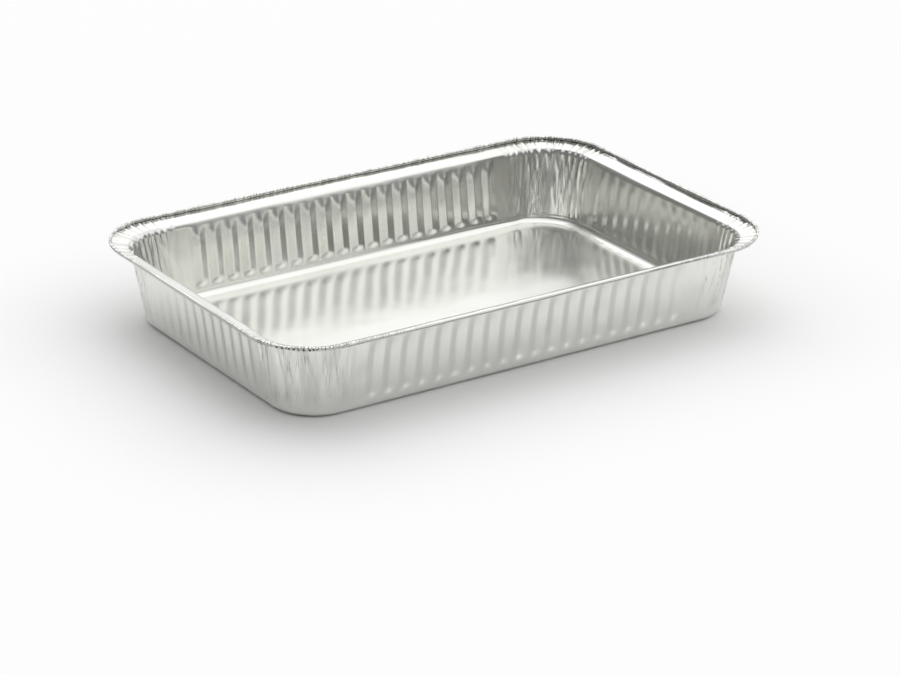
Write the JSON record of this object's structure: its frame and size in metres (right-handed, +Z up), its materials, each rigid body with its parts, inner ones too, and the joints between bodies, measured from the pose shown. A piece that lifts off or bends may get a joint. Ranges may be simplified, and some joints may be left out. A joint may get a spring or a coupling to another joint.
{
  "type": "aluminium foil tray",
  "caption": "Rectangular roasting tray pressed from one sheet of foil, with leaning fluted walls, rounded corners and a broad flange that ends in a curled bead.",
  "frame": {"origin": "centre of the floor's underside, on the surface that the tray stands on", "axes": "X along the tray's length, Y across its width, +Z up, out of the open top"},
  "size_m": [0.32, 0.2134, 0.048],
  "materials": {
    "foil": "bright rolled foil, finely creased at the corners"
  },
  "bodies": {
    "root": {"foil_tray": "foil"}
  },
  "joints": []
}
